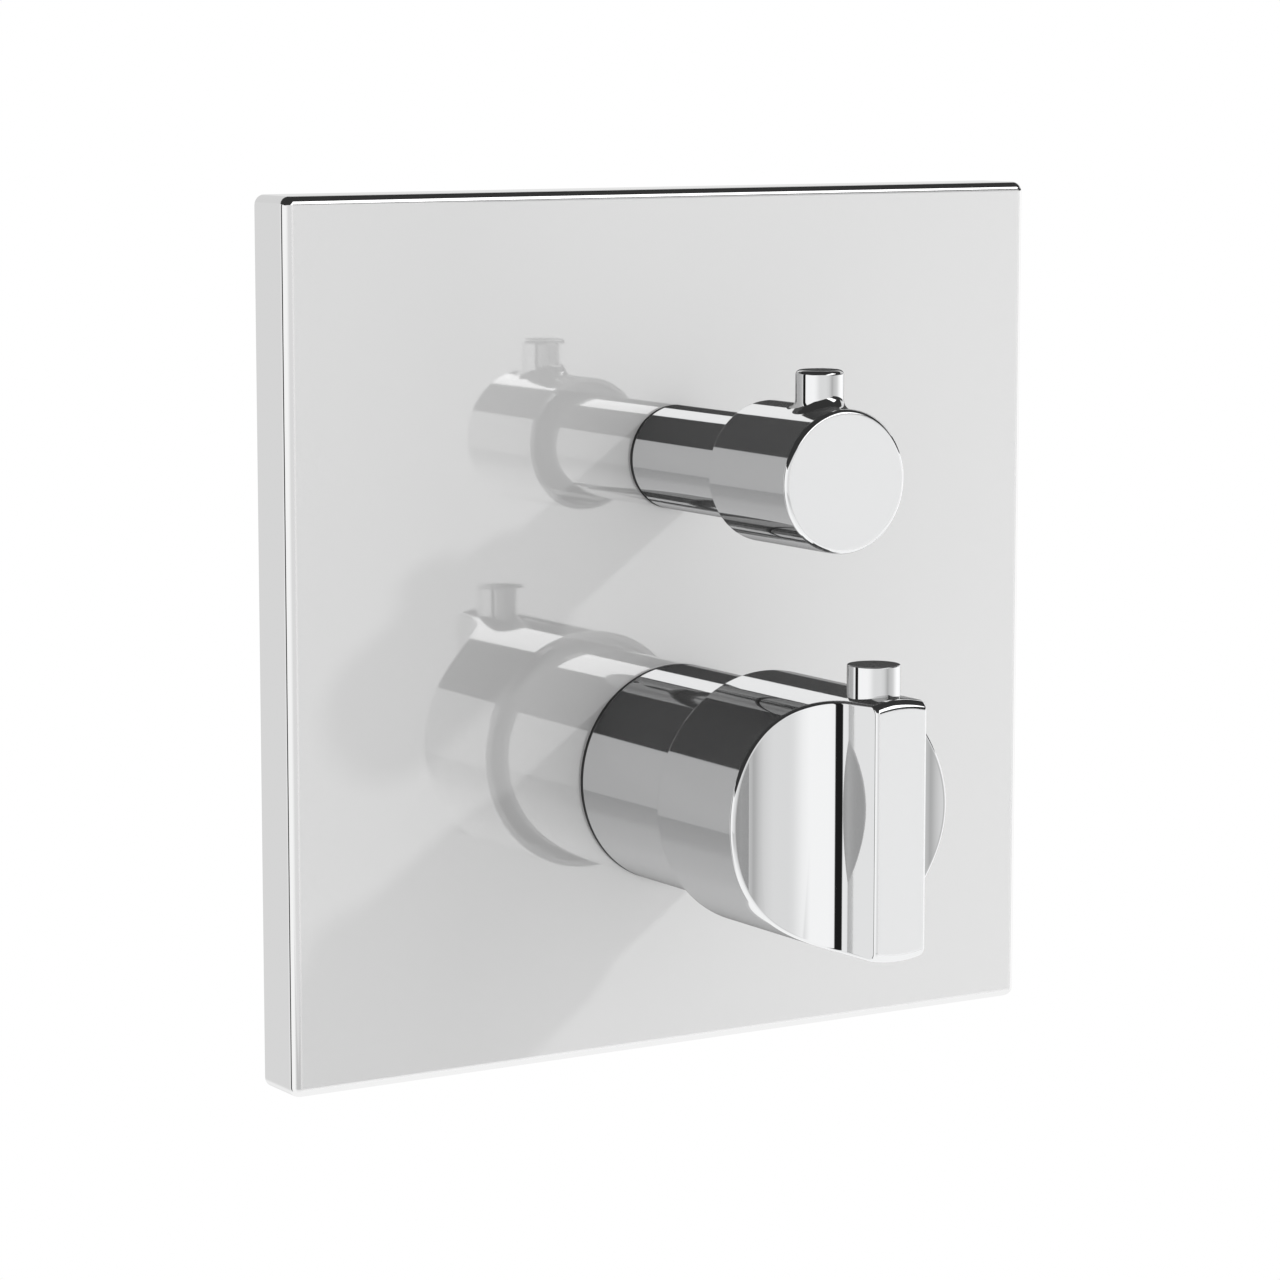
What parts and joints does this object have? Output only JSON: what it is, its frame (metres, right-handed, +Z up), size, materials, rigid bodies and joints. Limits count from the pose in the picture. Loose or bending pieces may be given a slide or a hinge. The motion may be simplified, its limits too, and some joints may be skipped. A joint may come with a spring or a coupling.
{
  "type": "concealed thermostatic shower valve",
  "caption": "Concealed thermostatic shower valve: square chrome wall plate, round flow knob with grip pin above, scooped thermostat handle with safety button below, brass body behind the wall.",
  "frame": {"origin": "centre of the wall plate's back rim, on the finished wall", "axes": "+Z up, +X to the right of someone facing the valve, +Y into the wall; both controls turn about lines along Y"},
  "size_m": [0.17, 0.1663, 0.17],
  "materials": {
    "chrome": "polished chrome plate",
    "plate_chrome": "bright chrome plate with a soft pale sheen",
    "brass": "as cast and machined brass",
    "brass_turned": "fine turned brass",
    "black_rubber": "black nitrile rubber",
    "foam": "closed-cell sealing foam",
    "white_plastic": "moulded acetal",
    "grey_plastic": "glass-filled moulded plastic",
    "red_plastic": "moulded acetal, red",
    "steel": "stainless steel",
    "ceramic": "lapped alumina",
    "copper": "drawn copper"
  },
  "bodies": {
    "fixed_body": {"wall_plate": "plate_chrome", "plate_seal": "foam", "flow_sleeve": "chrome", "flow_sleeve_ring": "black_rubber", "thermostat_sleeve": "chrome", "thermostat_sleeve_ring": "black_rubber", "temperature_stop_ring": "red_plastic", "thermostat_housing": "brass_turned", "cartridge_cage": "grey_plastic", "cartridge_seals": "black_rubber", "return_spring": "steel", "flow_housing": "brass_turned", "flow_housing_seal": "black_rubber", "fixed_disc": "ceramic", "disc_seal": "black_rubber", "valve_body": "brass", "passage_plugs": "brass_turned", "cold_check_housing": "grey_plastic", "hot_check_housing": "grey_plastic", "cold_check_spring": "steel", "hot_check_spring": "steel", "cold_inlet_strainer": "white_plastic", "hot_inlet_strainer": "white_plastic", "check_seals": "black_rubber"},
    "flow_control": {"flow_knob": "chrome", "flow_knob_bush": "white_plastic", "flow_knob_screw": "steel", "flow_spindle": "brass_turned", "flow_spindle_seal": "black_rubber", "moving_disc": "ceramic"},
    "thermostat_control": {"thermostat_handle": "chrome", "thermostat_handle_bush": "white_plastic", "thermostat_handle_screw": "steel", "thermostat_spindle": "brass_turned", "thermostat_spindle_seals": "black_rubber", "safety_button_spring": "steel"},
    "safety_button": {"safety_button": "chrome", "safety_button_latch": "steel"},
    "mixing_group": {"regulating_nut": "brass_turned", "overload_spring": "steel", "overload_cap": "steel", "overload_clip": "steel", "wax_element": "copper", "mixing_shuttle": "white_plastic"},
    "hot_poppet": {"hot_check_poppet": "white_plastic"},
    "cold_poppet": {"cold_check_poppet": "white_plastic"}
  },
  "joints": [
    {"name": "flow_knob_turn", "type": "hinge", "parent": "fixed_body", "child": "flow_control", "pos_m": [0, -0.058, 0.0328], "axis": [0, -1, 0], "range_deg": [-90, 90]},
    {"name": "thermostat_turn", "type": "hinge", "parent": "fixed_body", "child": "thermostat_control", "pos_m": [0, -0.066, -0.0298], "axis": [0, -1, 0], "range_deg": [-180, 60]},
    {"name": "safety_button_press", "type": "slide", "parent": "thermostat_control", "child": "safety_button", "axis": [0, 0, -1], "range_m": [0, 0.0025], "stiffness_N_per_m": 1200, "springref_m": -0.001, "deforming": ["safety_button_spring"]},
    {"name": "mixing_slide", "type": "slide", "parent": "fixed_body", "child": "mixing_group", "axis": [0, -1, 0], "range_m": [-0.0015, 0.0005], "deforming": ["return_spring"]},
    {"name": "hot_check_slide", "type": "slide", "parent": "fixed_body", "child": "hot_poppet", "axis": [1, 0, 0], "range_m": [0, 0.0025], "stiffness_N_per_m": 150, "springref_m": -0.001, "deforming": ["hot_check_spring"]},
    {"name": "cold_check_slide", "type": "slide", "parent": "fixed_body", "child": "cold_poppet", "axis": [-1, 0, 0], "range_m": [0, 0.0025], "stiffness_N_per_m": 150, "springref_m": -0.001, "deforming": ["cold_check_spring"]}
  ],
  "couplings": [
    {"joint": "mixing_slide", "follows": "thermostat_turn", "m_per_rad": 0.000477}
  ]
}
